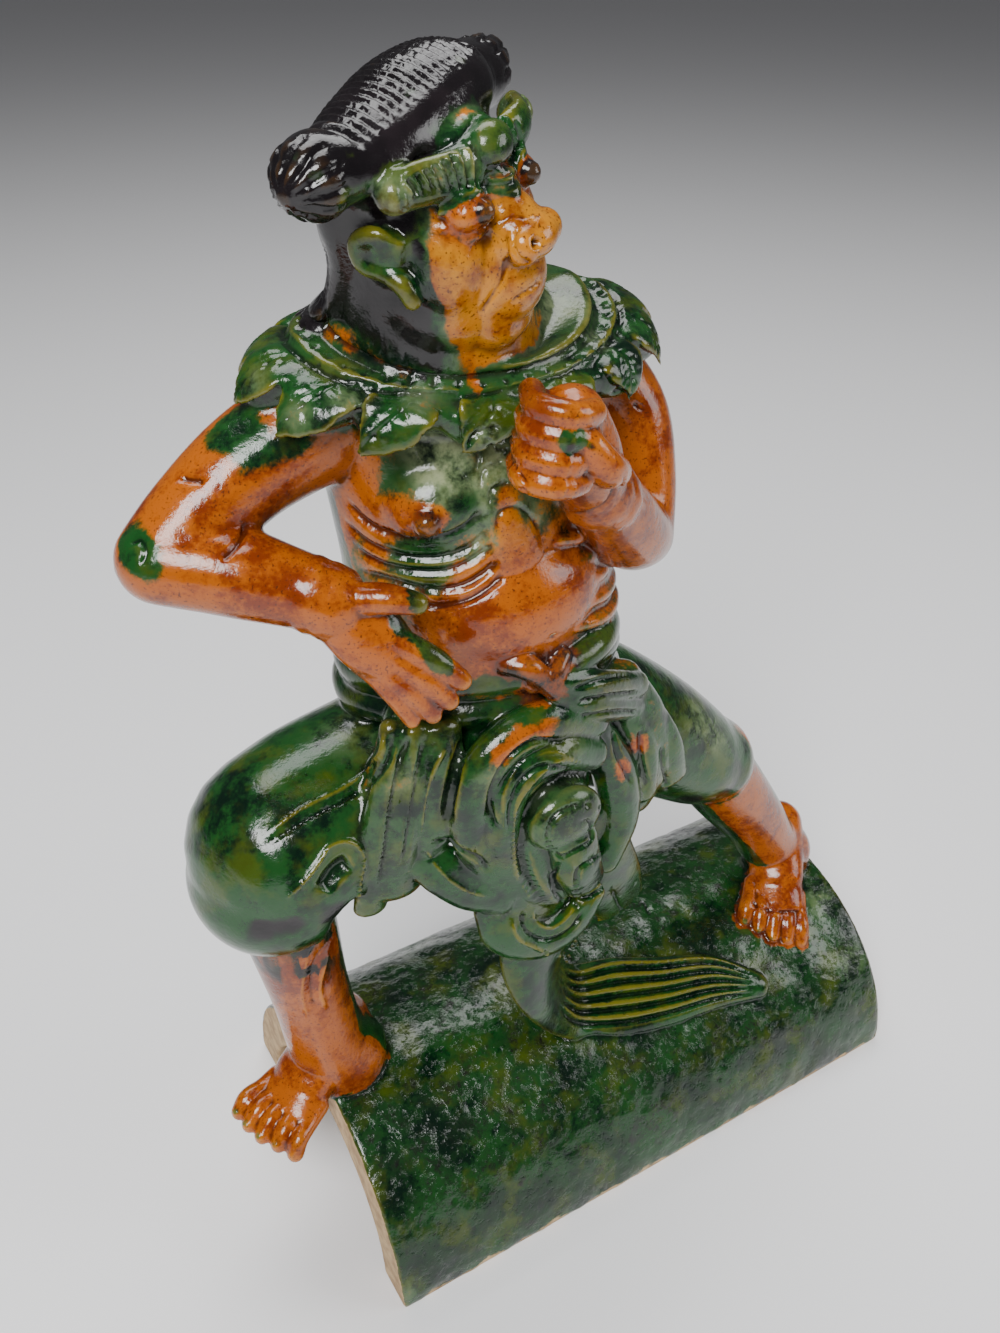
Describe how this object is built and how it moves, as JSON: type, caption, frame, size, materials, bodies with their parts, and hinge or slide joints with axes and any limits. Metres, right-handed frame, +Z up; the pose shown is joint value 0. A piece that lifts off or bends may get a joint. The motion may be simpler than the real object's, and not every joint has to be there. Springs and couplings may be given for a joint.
{
  "type": "ridge beast ornament",
  "caption": "Glazed roof-ridge ornament: a striding guardian with a grotesque face, hand on waist and fist raised, fired in one piece with its half-round ridge tile.",
  "frame": {"origin": "under the middle of the whole ornament's footprint, on the plane the tile's lower edges stand on", "axes": "+Z up; the ridge runs along X, with the figure's left foot towards +X and its right foot over the end at -X; the figure faces -Y"},
  "size_m": [0.3196, 0.16, 0.4725],
  "materials": {
    "glaze": "glossy lead glaze in bottle green, amber orange and black-brown over a buff clay body, speckled and pooled, bare on the tile's end faces and lower edges"
  },
  "bodies": {
    "root": {"ridge_guardian": "glaze"}
  },
  "joints": []
}
